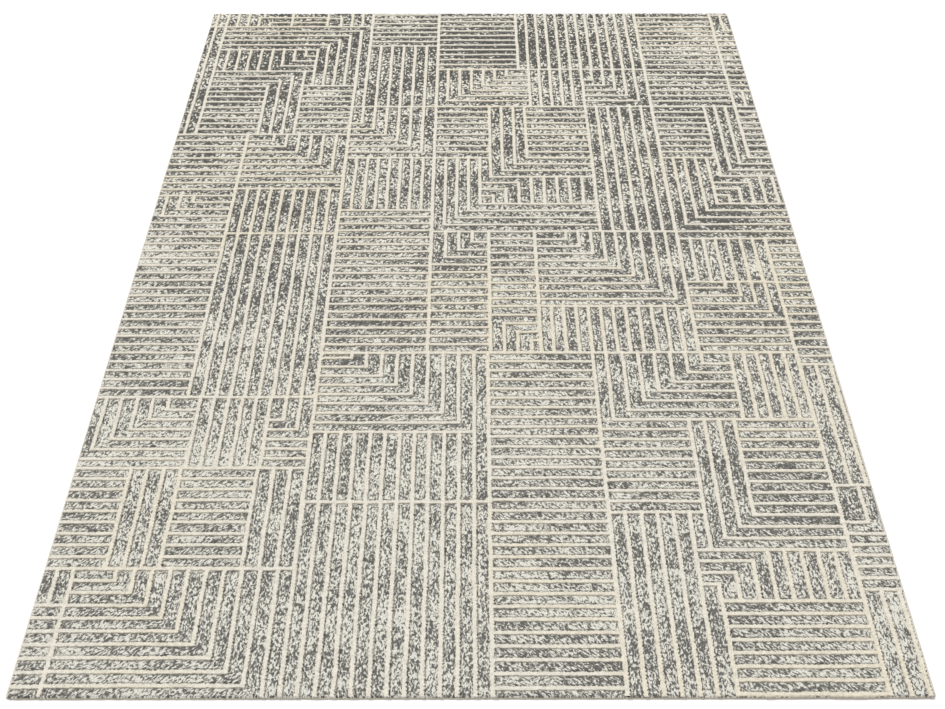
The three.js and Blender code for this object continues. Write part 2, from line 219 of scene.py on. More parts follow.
PALER_PATCHES = [
    [15, 752, 40, 18, 0.8], [450, 715, 50, 60, 0.7], [395, 640, 35, 9, 0.7], [270, 622, 50, 22, 0.55],
    [115, 615, 25, 12, 0.6], [150, 530, 120, 60, 0.3], [15, 400, 50, 90, 0.35], [60, 190, 120, 70, 0.3],
    [250, 250, 90, 60, 0.12],
]


def points_of(mesh):
    """Where the mesh's vertices are, one row each."""
    places = np.zeros(len(mesh.vertices) * 3)
    mesh.vertices.foreach_get("co", places)
    return places.reshape(-1, 3)


def set_points(mesh, places):
    mesh.vertices.foreach_set("co", places.ravel())
    mesh.update()


def soft_grid(name, low, high, cell_x, cell_y, fine_side="top"):
    """A closed slab with a fine grid on one side and one plain face on the other."""
    plain_z, fine_z = (low.z, high.z) if fine_side == "top" else (high.z, low.z)
    columns = round((high.x - low.x) / cell_x)
    rows = round((high.y - low.y) / cell_y)
    bpy.ops.mesh.primitive_grid_add(x_subdivisions=columns, y_subdivisions=rows, size=1, location=(0, 0, 0))
    piece = bpy.context.object
    piece.name = name
    piece.data.name = name
    bpy.ops.object.mode_set(mode="EDIT")
    bpy.ops.mesh.select_all(action="SELECT")
    bpy.ops.transform.resize(value=(high.x - low.x, high.y - low.y, 1))
    middle = (low + high) / 2
    bpy.ops.transform.translate(value=(middle.x, middle.y, plain_z))
    bpy.ops.mesh.extrude_region_move(TRANSFORM_OT_translate={"value": (0, 0, fine_z - plain_z)})
    bpy.ops.object.mode_set(mode="OBJECT")
    mesh = piece.data
    plain = abs(points_of(mesh)[:, 2] - plain_z) < abs(fine_z - plain_z) / 2
    mesh.vertices.foreach_set("select", plain)
    mesh.edges.foreach_set("select", [plain[e.vertices[0]] and plain[e.vertices[1]] for e in mesh.edges])
    mesh.polygons.foreach_set("select", np.zeros(len(mesh.polygons), bool))
    bpy.ops.object.mode_set(mode="EDIT")
    bpy.ops.mesh.edge_face_add()
    bpy.ops.mesh.select_all(action="SELECT")
    bpy.ops.mesh.normals_make_consistent(inside=False)
    bpy.ops.mesh.select_all(action="DESELECT")
    bpy.ops.object.mode_set(mode="OBJECT")
    piece.select_set(False)
    return piece


def beside_lines(px, py, reach=9.0):
    """For each place, in points: how far the nearest line's middle is, whether that line runs across,
    and on which side of it the place is: 1 to its right or far side, -1 to its left or near side."""
    distance = np.full(len(px), reach)
    across = np.zeros(len(px))
    side = np.zeros(len(px))
    order = np.argsort(px, kind="stable")
    sorted_x = px[order]
    for x0, y0, x1, y1, kind in lines:
        i0, i1 = np.searchsorted(sorted_x, [x0 - reach, x1 + reach])
        near = order[i0:i1]
        near = near[(py[near] > y0 - reach) & (py[near] < y1 + reach)]
        off_x = np.maximum(np.maximum(x0 - px[near], px[near] - x1), 0)
        off_y = np.maximum(np.maximum(y0 - py[near], py[near] - y1), 0)
        off = np.hypot(off_x, off_y)
        closer = near[off < distance[near]]
        distance[near] = np.minimum(distance[near], off)
        across[closer] = y0 == y1
        side[closer] = np.sign(py[closer] - y0) if y0 == y1 else np.sign(px[closer] - x0)
    return distance, across, side


def rounded_corners(places):
    """The rug's corners are a little rounded, most at the near right."""
    for side_x, side_y, radius in ((1, -1, 0.009), (-1, -1, 0.005), (1, 1, 0.005), (-1, 1, 0.005)):
        u = side_x * places[:, 0] - (rug_high.x - radius)
        v = side_y * places[:, 1] - (rug_high.y - radius)
        inside = (u > 0) & (v > 0)
        shrink = np.ones(len(places))
        shrink[inside] = np.maximum(u, v)[inside] / np.hypot(u, v)[inside]
        places[:, 0] = np.where(inside, side_x * (rug_high.x - radius + u * shrink), places[:, 0])
        places[:, 1] = np.where(inside, side_y * (rug_high.y - radius + v * shrink), places[:, 1])
    return places


chance = np.random.default_rng(7)

mottled = soft_grid("mottled_pile_surface", pile_low, pile_high, PILE_CELL * point_x, PILE_CELL * point_y)
places = points_of(mottled.data)
is_top = places[:, 2] > (pile_low.z + pile_high.z) / 2
off, across, side = beside_lines((places[:, 0] - rug_low.x) / point_x, (places[:, 1] - rug_low.y) / point_y)
crown = np.clip((off - SLOPE_START) / SLOPE_WIDTH, 0, 1)
crown = crown * crown * (3 - 2 * crown)
rise = RIB_CROWN * (crown - 0.6) + TUFT_RISE * chance.uniform(-1, 1, len(places))
places[:, 2] += np.where(is_top, rise, 0)
places[:, :2] += chance.uniform(-TUFT_STRAY, TUFT_STRAY, (len(places), 2))
set_points(mottled.data, rounded_corners(places))
px = (places[:, 0] - rug_low.x) / point_x
py = (places[:, 1] - rug_low.y) / point_y
darker = np.zeros(len(places))
for sign, patches in ((1, DARKER_PATCHES), (-1, PALER_PATCHES)):
    for mid_x, mid_y, reach_x, reach_y, share in patches:
        darker += sign * share * np.exp(-2 * (((px - mid_x) / reach_x) ** 2 + ((py - mid_y) / reach_y) ** 2))
for name, values in (("runs_across", across), ("from_line", off), ("side_of_line", side), ("darker", darker)):
    mark = mottled.data.attributes.new(name, "FLOAT", "POINT")
    mark.data.foreach_set("value", values.astype(np.float32))
mottled.data.polygons.foreach_set("use_smooth", np.ones(len(mottled.data.polygons), bool))


def new_material(name):
    material = bpy.data.materials.new(name)
    material.use_nodes = True
    nodes = material.node_tree.nodes
    nodes.clear()
    shader = nodes.new("ShaderNodeBsdfPrincipled")
    output = nodes.new("ShaderNodeOutputMaterial")
    material.node_tree.links.new(shader.outputs["BSDF"], output.inputs["Surface"])
    return material, nodes, material.node_tree.links, shader


def noise(nodes, links, where, scale, detail=2.0, roughness=0.5, distortion=0.0):
    node = nodes.new("ShaderNodeTexNoise")
    node.inputs["Scale"].default_value = scale
    node.inputs["Detail"].default_value = detail
    node.inputs["Roughness"].default_value = roughness
    node.inputs["Distortion"].default_value = distortion
    links.new(where, node.inputs["Vector"])
    return node.outputs["Fac"]


def stretched(nodes, links, where, scale, turn=0.0, shift=(0, 0, 0)):
    node = nodes.new("ShaderNodeMapping")
    node.inputs["Scale"].default_value = scale
    node.inputs["Rotation"].default_value = (0, 0, math.radians(turn))
    node.inputs["Location"].default_value = shift
    links.new(where, node.inputs["Vector"])
    return node.outputs["Vector"]


def combed(nodes, links, where, length, turn):
    """Drawn out to length times along a direction turned from the rug's own."""
    node = nodes.new("ShaderNodeMapping")
    node.vector_type = "TEXTURE"
    node.inputs["Scale"].default_value = (1, length, 1)
    node.inputs["Rotation"].default_value = (0, 0, math.radians(turn))
    links.new(where, node.inputs["Vector"])
    return node.outputs["Vector"]


def feed(links, socket, value):
    """A plain number or colour is set on the socket, and anything else is linked to it."""
    if isinstance(value, (int, float, tuple)):
        socket.default_value = value
    elif value is not None:
        links.new(value, socket)


def maths(nodes, links, operation, first, second=None, third=None, clamped=False):
    node = nodes.new("ShaderNodeMath")
    node.operation = operation
    node.use_clamp = clamped
    for socket, value in zip(node.inputs, (first, second, third)):
        feed(links, socket, value)
    return node.outputs[0]


def mixed(nodes, links, share, first, second):
    """A height or a fleck that goes from the first to the second."""
    node = nodes.new("ShaderNodeMix")
    node.data_type = "FLOAT"
    feed(links, node.inputs[0], share)
    feed(links, node.inputs[2], first)
    feed(links, node.inputs[3], second)
    return node.outputs[0]


def blended(nodes, links, share, first, second, way="MIX"):
    """A colour that goes from the first to the second."""
    node = nodes.new("ShaderNodeMix")
    node.data_type = "RGBA"
    node.blend_type = way
    feed(links, node.inputs[0], share)
    feed(links, node.inputs[6], first)
    feed(links, node.inputs[7], second)
    return node.outputs[2]


def multiplied(nodes, links, share, first, second):
    """The first colour, shaded by the second."""
    return blended(nodes, links, share, first, second, "MULTIPLY")


def ramp(nodes, links, value, stops):
    node = nodes.new("ShaderNodeValToRGB")
    points = node.color_ramp.elements
    while len(points) < len(stops):
        points.new(0.5)
    for point, (place, colour) in zip(points, stops):
        point.position = place
        point.color = (*colour, 1)
    links.new(value, node.inputs["Fac"])
    return node.outputs["Color"]


def bumped(nodes, links, shader, height, distance, strength=1.0):
    node = nodes.new("ShaderNodeBump")
    node.inputs["Distance"].default_value = distance
    node.inputs["Strength"].default_value = strength
    links.new(height, node.inputs["Height"])
    links.new(node.outputs["Normal"], shader.inputs["Normal"])


def tufts(nodes, links, where, size, randomness=0.8):
    """Rounded heads of cut tufts: how far each place is from the middle of its head."""
    node = nodes.new("ShaderNodeTexVoronoi")
    node.inputs["Scale"].default_value = 1 / size
    node.inputs["Randomness"].default_value = randomness
    links.new(where, node.inputs["Vector"])
    return node.outputs["Distance"]


def marked(nodes, name):
    node = nodes.new("ShaderNodeAttribute")
    node.attribute_name = name
    return node.outputs["Fac"]


def parts_of(nodes, links, where):
    """How far along X, Y and Z a place is."""
    node = nodes.new("ShaderNodeSeparateXYZ")
    links.new(where, node.inputs[0])
    return node.outputs


def yarn_sheen(shader, roughness, specular, sheen):
    shader.inputs["Roughness"].default_value = roughness
    shader.inputs["Specular IOR Level"].default_value = specular
    shader.inputs["Sheen Weight"].default_value = sheen
    shader.inputs["Sheen Roughness"].default_value = 0.6


TUFT_SIZE = 0.0021
# the flecks' three tones, softer near the near end than at the far end
DARK_YARN = (0.13, 0.127, 0.117)
GREY_YARN = (0.30, 0.293, 0.262)
IVORY_YARN = (0.84, 0.82, 0.73)
FAR_DARK_YARN = (0.066, 0.063, 0.055)
FAR_GREY_YARN = (0.19, 0.183, 0.156)
FAR_IVORY_YARN = (0.97, 0.94, 0.82)
FLECK_TONES = (0.40, 0.49, 0.57)  # where the dark yarn ends, the grey is full, and the ivory starts
FAR_FLECK_TONES = (0.46, 0.505, 0.545)
FAR_SLOPE = 0.41  # how fast the near tones give way to the far ones, per metre
# the curls that the yarn is worked in: how many to the metre, how long, and how they twist
CURL_SCALE = 320
FAR_CURL_SCALE = 170
CURL_LENGTH = 2.1
FAR_CURL_LENGTH = 1.4
CURL_FAN = 45  # degrees to each side, in a rib that runs across
FAN_TURNS_AT = 0.45
FAN_STRAY = 0.9
CURL_DETAIL = 0.6
CURL_ROUGH = 0.7
CURL_TURN = 0.7
# how strongly each thing draws the ivory yarn up: runs along a rib, broad streaks, the darker
# patches, the far end, and both edges of a rib, with a painted highlight band along its right one
RUN_BIAS = 0.28
BROAD_BIAS = 0.24
BROAD_SHIFT = (3.1, 5.7, 0)
DARKER_BIAS = 0.085
FAR_BIAS = -0.02
EDGE_BIAS = 0.005
HIGHLIGHT_BAND_BIAS = 0.035
EDGE_AND_HIGHLIGHT_REACH = 3.9  # points from the line's middle
FLECK_SHIFT = -0.133
# painted shadow at the foot of a raised line, strongest on the right of a line that runs along
FOOT_SHADOW_SHARE = 0.2
FOOT_SHADOW_RIGHT = 0.7
FOOT_SHADOW_COLOUR = (0.3, 0.29, 0.27, 1)
FOOT_SHADOW_REACH = 2.85  # points from the line's middle
FOOT_SHADOW_RAG = 1.8
FOOT_SHADOW_FADE = -1.6


def mottled_yarn():
    material, nodes, links, shader = new_material("mottled_yarn")
    where = nodes.new("ShaderNodeTexCoord").outputs["Object"]
    parts = parts_of(nodes, links, where)
    runs_across = marked(nodes, "runs_across")
    from_line = marked(nodes, "from_line")
    side = marked(nodes, "side_of_line")
    darker = marked(nodes, "darker")
    flat = stretched(nodes, links, where, (1, 1, 0.15))
    to_far = maths(nodes, links, "MULTIPLY_ADD", parts["Y"], FAR_SLOPE, 0.5, clamped=True)
    # flecks of the two yarns, worked in short curls: they lie along a rib that runs along the rug,
    # and fan out to the two sides in a rib that runs across
    stray = noise(nodes, links, flat, 30, detail=1.0)
    sideways = maths(nodes, links, "ADD", parts["X"], -FAN_TURNS_AT)
    sideways = maths(nodes, links, "MULTIPLY_ADD", stray, FAN_STRAY, sideways)
    rightwards = maths(nodes, links, "MULTIPLY_ADD", sideways, 8.0, 0.5, clamped=True)

    def curled(scale, length):
        layers = []
        for turn in (-CURL_FAN, CURL_FAN, 0):
            path = combed(nodes, links, flat, length, turn)
            layers.append(noise(nodes, links, path, scale, CURL_DETAIL, CURL_ROUGH, CURL_TURN))
        fanned = mixed(nodes, links, rightwards, layers[0], layers[1])
        return mixed(nodes, links, runs_across, layers[2], fanned)

    near_curls = curled(CURL_SCALE, CURL_LENGTH)
    curls = mixed(nodes, links, to_far, near_curls, curled(FAR_CURL_SCALE, FAR_CURL_LENGTH))
    head = tufts(nodes, links, flat, TUFT_SIZE)
    # runs where one yarn or the other lies on top, drawn out along each rib
    along_run = noise(nodes, links, stretched(nodes, links, flat, (48, 14, 1)), 1.0, detail=2.0)
    across_run = noise(nodes, links, stretched(nodes, links, flat, (14, 48, 1)), 1.0, detail=2.0)
    run = mixed(nodes, links, runs_across, along_run, across_run)
    streaks = stretched(nodes, links, flat, (3.2, 9.0, 1), shift=BROAD_SHIFT)
    broad = noise(nodes, links, streaks, 1.0, detail=3.0, roughness=0.6)
    bias = maths(nodes, links, "MULTIPLY_ADD", run, RUN_BIAS, -0.5 * RUN_BIAS)
    bias = maths(nodes, links, "MULTIPLY_ADD", broad, BROAD_BIAS, bias)
    bias = maths(nodes, links, "MULTIPLY_ADD", parts["Y"], FAR_BIAS, bias)
    bias = maths(nodes, links, "MULTIPLY_ADD", darker, -DARKER_BIAS, bias)
    # more ivory where a rib meets a line, and a painted highlight band, most on the right of a line that runs
    # along
    edge = maths(nodes, links, "SUBTRACT", EDGE_AND_HIGHLIGHT_REACH, from_line, clamped=True)
    right = maths(nodes, links, "MULTIPLY_ADD", side, 0.5, 0.5, clamped=True)
    edge_and_highlight = maths(nodes, links, "MULTIPLY_ADD", right, HIGHLIGHT_BAND_BIAS, EDGE_BIAS)
    bias = maths(nodes, links, "MULTIPLY_ADD", edge, edge_and_highlight, bias)
    fleck = maths(nodes, links, "ADD", curls, bias)
    fleck = maths(nodes, links, "ADD", fleck, FLECK_SHIFT)
    near_yarns = list(zip(FLECK_TONES, (DARK_YARN, GREY_YARN, IVORY_YARN)))
    far_yarns = list(zip(FAR_FLECK_TONES, (FAR_DARK_YARN, FAR_GREY_YARN, FAR_IVORY_YARN)))
    near_colour = ramp(nodes, links, fleck, near_yarns)
    colour = blended(nodes, links, to_far, near_colour, ramp(nodes, links, fleck, far_yarns))
    # painted shade in the gaps between tuft heads
    tuft_gap_shade = ramp(nodes, links, head, [(0.35, (1, 1, 1)), (0.8, (0.62, 0.61, 0.58))])
    colour = multiplied(nodes, links, 0.7, colour, tuft_gap_shade)
    # painted shadow at the foot of each line, ragged, strongest on its right side
    teeth = noise(nodes, links, flat, 190, detail=1.0)
    foot = maths(nodes, links, "ADD", from_line, -FOOT_SHADOW_REACH)
    foot = maths(nodes, links, "ABSOLUTE", maths(nodes, links, "MULTIPLY_ADD", teeth, FOOT_SHADOW_RAG, foot))
    foot = maths(nodes, links, "MULTIPLY_ADD", foot, FOOT_SHADOW_FADE, 1.0, clamped=True)
    share = maths(nodes, links, "MULTIPLY_ADD", right, FOOT_SHADOW_RIGHT, FOOT_SHADOW_SHARE)
    foot = maths(nodes, links, "MULTIPLY", foot, share)
    links.new(multiplied(nodes, links, foot, colour, FOOT_SHADOW_COLOUR), shader.inputs["Base Color"])
    yarn_sheen(shader, 0.95, 0.15, 0.2)
    fibres = noise(nodes, links, where, 1400, detail=2.0)
    height = maths(nodes, links, "MULTIPLY_ADD", head, -0.9, maths(nodes, links, "MULTIPLY", curls, 0.6))
    height = maths(nodes, links, "MULTIPLY_ADD", fibres, 0.45, height)
    bumped(nodes, links, shader, height, 0.0016, 0.9)
    return material


mottled.data.materials.append(mottled_yarn())
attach(mottled, "root")
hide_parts("mottled_pile")


# ---------------------------------------------------------------------------------------------
# Cream lines: longer tufts of cream yarn, three to the line's width, standing above the mottled pile.
# They are tufted with it, so their roots go down through it and their sides lean a little.
line_low, line_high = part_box("cream_line_pile")
LINE_POINTS = {"across": 2.42, "along": 2.5}  # how wide a line is
LINE_SHIFT = {"across": -0.3, "along": 0.32}  # points, to the far side or to the right
LINE_STEP = 1.18  # points from one ring of the surface to the next
LINE_ROOT = pile_high.z - 0.0012
LINE_END = 1.15  # points that an end goes past the middle of the line that it meets
LINE_OVER_SERGING = 0.0008
LINE_WANDER = 0.00085  # how far a line strays from straight
LINE_RAG = 0.0008  # how ragged its sides are
LINE_TOOTH = {-1: 0.0006, 1: 0.0013}  # how far every other tuft stands out, on each side
TOOTH_SHARE = {"across": 0.5, "along": 1.0}
LINE_DIP = 0.0004  # how uneven its top is
# across the line, as shares of half its width, and up it, as shares of its height
LINE_SECTION = [(-1.0, 0.0), (-1.0, 0.72), (-0.8, 1.0), (0.8, 1.0), (1.0, 0.72), (1.0, 0.0)]
TOP_CORNERS = (2, 3)


def laid_line(x0, y0, x1, y1):
    """Vertices, side faces and end faces of one stretch, running from its first end to its last."""
    runs_along_x = y0 == y1
    way = "across" if runs_along_x else "along"
    unit = point_x if runs_along_x else point_y
    side_unit = point_y if runs_along_x else point_x
    first, last = (x0, x1) if runs_along_x else (y0, y1)
    limit = POINTS_ACROSS if runs_along_x else POINTS_ALONG
    start = (max(first - LINE_END, 0) - limit / 2) * unit
    end = (min(last + LINE_END, limit) - limit / 2) * unit
    if runs_along_x:
        start = max(start, line_low.x - LINE_OVER_SERGING)
        end = min(end, line_high.x + LINE_OVER_SERGING)
        middle = (y0 + LINE_SHIFT[way] - POINTS_ALONG / 2) * point_y
    else:
        middle = (x0 + LINE_SHIFT[way] - POINTS_ACROSS / 2) * point_x
    rings = max(int(round((end - start) / (LINE_STEP * unit))), 2) + 1
    run = np.linspace(start, end, rings)
    run[1:-1] += chance.uniform(-0.25, 0.25, rings - 2) * LINE_STEP * unit
    half = LINE_POINTS[way] / 2 * side_unit
    bends = rings // 16 + 3
    wander = np.interp(run, np.linspace(start, end, bends), chance.uniform(-1, 1, bends)) * LINE_WANDER
    height = line_high.z - LINE_ROOT - chance.uniform(0, LINE_DIP, rings)
    tooth = TOOTH_SHARE[way] * (-1.0) ** np.arange(rings) * chance.uniform(0.1, 1.5, rings)
    rags = {s: chance.uniform(-1, 1, rings) * LINE_RAG + tooth * LINE_TOOTH[s] for s in (-1, 1)}
    corners = []
    for share, up in LINE_SECTION:
        side = middle + wander + share * half + rags[-1 if share < 0 else 1]
        z = LINE_ROOT + up * height
        corners.append(np.stack([run, side, z] if runs_along_x else [side, run, z], axis=1))
    vertices = np.stack(corners, axis=1).reshape(-1, 3)
    count = len(LINE_SECTION)
    ring = np.arange(rings - 1)[:, None] * count
    around = np.arange(count)[None, :]
    after = (around + 1) % count
    quads = [ring + around, ring + count + around, ring + count + after, ring + after]
    quads = np.stack(quads, axis=-1).reshape(-1, 4)
    cap = list(range(count))
    caps = [cap, [corner + (rings - 1) * count for corner in reversed(cap)]]
    if not runs_along_x:
        quads = quads[:, ::-1]
        caps = [list(reversed(cap)) for cap in caps]
    return vertices, quads, caps


def cream_lines(name, wanted):
    """All the stretches of one kind, as one piece."""
    vertices = []
    faces = []
    smooth = []
    total = 0
    for x0, y0, x1, y1, kind in lines:
        if kind != wanted:
            continue
        places, quads, caps = laid_line(x0, y0, x1, y1)
        vertices.append(places)
        smooth += [True] * len(quads) + [False, False]
        faces += (quads + total).tolist()
        faces += [[corner + total for corner in cap] for cap in caps]
        total += len(places)
    mesh = bpy.data.meshes.new(name)
    mesh.from_pydata(rounded_corners(np.concatenate(vertices)).tolist(), [], faces)
    mesh.polygons.foreach_set("use_smooth", smooth)
    # the two ridges along the top stay crisp
    ends = np.zeros(len(mesh.edges) * 2, dtype=int)
    mesh.edges.foreach_get("vertices", ends)
    place = ends.reshape(-1, 2) % len(LINE_SECTION)
    ridge = (place[:, 0] == place[:, 1]) & np.isin(place[:, 0], TOP_CORNERS)
    mesh.edges.foreach_set("use_edge_sharp", ridge)
    piece = bpy.data.objects.new(name, mesh)
    bpy.context.scene.collection.objects.link(piece)
    return piece


CREAM_YARN = (0.97, 0.92, 0.805)
CREAM_SHADE = (0.80, 0.75, 0.65)
NEAR_CREAM = (0.93, 0.93, 0.93)
WARMER_LOT = (1.0, 0.972, 0.905)


def cream_yarn():
    material, nodes, links, shader = new_material("cream_yarn")
    where = nodes.new("ShaderNodeTexCoord").outputs["Object"]
    parts = parts_of(nodes, links, where)
    flat = stretched(nodes, links, where, (1, 1, 0.3))
    head = tufts(nodes, links, flat, TUFT_SIZE)
    tone = noise(nodes, links, flat, 150, detail=3.0)
    colour = ramp(nodes, links, tone, [(0.3, CREAM_SHADE), (0.62, CREAM_YARN)])
    # painted shade in the gaps between tuft heads
    tuft_gap_shade = ramp(nodes, links, head, [(0.35, (1, 1, 1)), (0.8, (0.74, 0.72, 0.67))])
    colour = multiplied(nodes, links, 0.6, colour, tuft_gap_shade)
    to_far = maths(nodes, links, "MULTIPLY_ADD", parts["Y"], FAR_SLOPE, 0.5, clamped=True)
    paler = ramp(nodes, links, to_far, [(0.0, NEAR_CREAM), (0.45, NEAR_CREAM), (1.0, (1, 1, 1))])
    # the yarn was dyed in several lots, some a little warmer
    lots = noise(nodes, links, flat, 2.1, detail=2.0)
    warmer = ramp(nodes, links, lots, [(0.45, (1, 1, 1)), (0.65, WARMER_LOT)])
    colour = multiplied(nodes, links, 1.0, colour, warmer)
    links.new(multiplied(nodes, links, 1.0, colour, paler), shader.inputs["Base Color"])
    yarn_sheen(shader, 0.92, 0.15, 0.2)
    fibres = noise(nodes, links, where, 1500, detail=2.0)
    height = maths(nodes, links, "MULTIPLY", head, -0.9)
    height = maths(nodes, links, "MULTIPLY_ADD", fibres, 0.45, height)
    bumped(nodes, links, shader, height, 0.0016, 0.9)
    return material


cream = cream_yarn()
LINE_PIECES = {"cream_lines_across": "across", "cream_lines_along": "along", "cream_line_corners": "corner"}
for name, kind in LINE_PIECES.items():
    piece = cream_lines(name, kind)
    piece.data.materials.append(cream)
    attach(piece, "root")
    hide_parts("cream_line_pile")


# ---------------------------------------------------------------------------------------------
# Ground weave: the coarse cloth of jute and cotton that every tuft is held in.
# It is seen edge on at the two ends, between the pile and the backing.
weave_low, weave_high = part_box("ground_weave")
WEAVE_CELL = 0.012
WEAVE_WAVE = 0.00012
WEAVE_FRAY = 0.0003  # how uneven its two cut ends are
WEAVE_YARN = 0.0032

weave = soft_grid("ground_weave_cloth", weave_low, weave_high, WEAVE_CELL, WEAVE_CELL)
places = points_of(weave.data)
is_top = places[:, 2] > (weave_low.z + weave_high.z) / 2
places[:, 2] -= np.where(is_top, chance.uniform(0, 2, len(places)) * WEAVE_WAVE, 0)
is_end = abs(places[:, 1]) > weave_high.y - WEAVE_CELL / 2
places[:, 1] += np.where(is_end, chance.uniform(-WEAVE_FRAY, WEAVE_FRAY, len(places)), 0)
set_points(weave.data, rounded_corners(places))


def woven(nodes, links, where, pitch, turn=0.0):
    """Over-and-under height of a plain weave, from two sets of rounded yarns."""
    parts = parts_of(nodes, links, stretched(nodes, links, where, (1, 1, 1), turn=turn))
    warp = maths(nodes, links, "SINE", maths(nodes, links, "MULTIPLY", parts["X"], 2 * math.pi / pitch))
    weft = maths(nodes, links, "SINE", maths(nodes, links, "MULTIPLY", parts["Y"], 2 * math.pi / pitch))
    return maths(nodes, links, "MULTIPLY_ADD", maths(nodes, links, "MULTIPLY", warp, weft), 0.5, 0.5)


def cloth(name, dark, light, pitch, relief, roughness, turn=0.0):
    """A plain cloth of slubby yarn, painted paler where a yarn comes to the top and darker where it dips under:
    painted light and shade.
    """
    material, nodes, links, shader = new_material(name)
    where = nodes.new("ShaderNodeTexCoord").outputs["Object"]
    over = woven(nodes, links, where, pitch, turn)
    slub = noise(nodes, links, stretched(nodes, links, where, (1, 0.25, 1)), 240, detail=3.0)
    tone = maths(nodes, links, "MULTIPLY_ADD", slub, 0.7, maths(nodes, links, "MULTIPLY", over, 0.45))
    links.new(ramp(nodes, links, tone, [(0.32, dark), (0.75, light)]), shader.inputs["Base Color"])
    shader.inputs["Roughness"].default_value = roughness
    shader.inputs["Specular IOR Level"].default_value = 0.2
    height = maths(nodes, links, "MULTIPLY_ADD", noise(nodes, links, where, 1800, detail=2.0), 0.3, over)
    bumped(nodes, links, shader, height, relief, 0.8)
    return material


woven_ground = cloth("woven_ground", (0.50, 0.43, 0.32), (0.78, 0.70, 0.56), WEAVE_YARN, 0.0008, 0.95)
weave.data.materials.append(woven_ground)
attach(weave, "root")
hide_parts("ground_weave")


# ---------------------------------------------------------------------------------------------
# Latex backcoat: a thin coat spread on the back over an open scrim, which locks the tufts in.
# The rows of tufts show through it as low ridges, and the scrim as a net of finer ones.
coat_low, coat_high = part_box("latex_backcoat")
COAT_CELL_X = 0.012
COAT_CELL_Y = 0.0045
COAT_RIDGE = 0.00016
SCRIM_PITCH = 0.0064
TUFT_ROW = 0.0032

coat = soft_grid("latex_backcoat_sheet", coat_low, coat_high, COAT_CELL_X, COAT_CELL_Y, fine_side="bottom")
places = points_of(coat.data)
is_bottom = places[:, 2] < (coat_low.z + coat_high.z) / 2
coat_length = coat_high.y - coat_low.y
row = np.round((places[:, 1] - coat_low.y) / (coat_length / round(coat_length / COAT_CELL_Y)))
ridge = (row % 2) * COAT_RIDGE + chance.uniform(0, 0.7, len(places)) * COAT_RIDGE
places[:, 2] += np.where(is_bottom, ridge, 0)
set_points(coat.data, rounded_corners(places))
coat.data.polygons.foreach_set("use_smooth", np.ones(len(coat.data.polygons), bool))


def latex_backing():
    material, nodes, links, shader = new_material("latex_backing")
    where = nodes.new("ShaderNodeTexCoord").outputs["Object"]
    over = woven(nodes, links, where, SCRIM_PITCH)
    parts = parts_of(nodes, links, where)
    rows = maths(nodes, links, "SINE", maths(nodes, links, "MULTIPLY", parts["Y"], 2 * math.pi / TUFT_ROW))
    cloudy = noise(nodes, links, where, 9, detail=4.0)
    grain = noise(nodes, links, where, 420, detail=3.0)
    tone = maths(nodes, links, "MULTIPLY_ADD", cloudy, 0.4, maths(nodes, links, "MULTIPLY", grain, 0.6))
    colour = ramp(nodes, links, tone, [(0.3, (0.55, 0.48, 0.36)), (0.68, (0.72, 0.66, 0.54))])
    # the net's hollows are darker: painted shade
    net = ramp(nodes, links, over, [(0.12, (0.66, 0.62, 0.56)), (0.4, (1, 1, 1))])
    links.new(multiplied(nodes, links, 0.8, colour, net), shader.inputs["Base Color"])
    shader.inputs["Roughness"].default_value = 0.8
    height = maths(nodes, links, "MULTIPLY_ADD", rows, 0.25, over)
    height = maths(nodes, links, "MULTIPLY_ADD", grain, 0.5, height)
    bumped(nodes, links, shader, height, 0.0006, 0.8)
    return material


coat.data.materials.append(latex_backing())
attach(coat, "root")
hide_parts("latex_backcoat")


# ---------------------------------------------------------------------------------------------
# Hem tapes: a twilled cotton tape under each short end, over the cut edge of the ground weave.
# Each is sewn through with one row of lockstitch, which pulls a shallow channel into it.
TAPE_CELL_X = 0.008
TAPE_CELL_Y = 0.002
SEAM_SINK = 0.00055
SEAM_WIDTH = 0.0022
PUCKER = 0.00018  # how far the seam draws the tape up
PUCKER_PITCHES = (0.031, 0.083)
TAPE_ROUGH = 0.00006

hem_tape_material = cloth("hem_tape", (0.60, 0.53, 0.41), (0.84, 0.78, 0.65), 0.0016, 0.0004, 0.9, turn=45)
for end in ("near", "far"):
    tape_low, tape_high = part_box(end + "_hem_tape")
    seam_low, seam_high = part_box(end + "_hem_stitching")
    seam_y = (seam_low.y + seam_high.y) / 2
    tape = soft_grid(end + "_hem_tape_cloth", tape_low, tape_high, TAPE_CELL_X, TAPE_CELL_Y, fine_side="bottom")
    places = points_of(tape.data)
    is_bottom = places[:, 2] < (tape_low.z + tape_high.z) / 2
    sink = SEAM_SINK * np.clip(1.6 - abs(places[:, 1] - seam_y) / SEAM_WIDTH, 0, 1)
    short, long = (places[:, 0] * 2 * math.pi / pitch for pitch in PUCKER_PITCHES)
    drawn_up = np.maximum(sink + PUCKER * np.sin(short) * np.cos(long), 0)
    places[:, 2] += np.where(is_bottom, drawn_up + chance.uniform(0, TAPE_ROUGH, len(places)), 0)
    set_points(tape.data, rounded_corners(places))
    tape.data.polygons.foreach_set("use_smooth", np.ones(len(tape.data.polygons), bool))
    tape.data.materials.append(hem_tape_material)
    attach(tape, "root")
    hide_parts(end + "_hem_tape")


def repeated(piece, count, step):
    """The piece laid out count times, a step apart."""
    array = piece.modifiers.new("rows", "ARRAY")
    array.count = count
    array.use_relative_offset = False
    array.use_constant_offset = True
    array.constant_offset_displace = step
    bpy.context.view_layer.objects.active = piece
    bpy.ops.object.modifier_apply(modifier=array.name)
    piece.select_set(False)


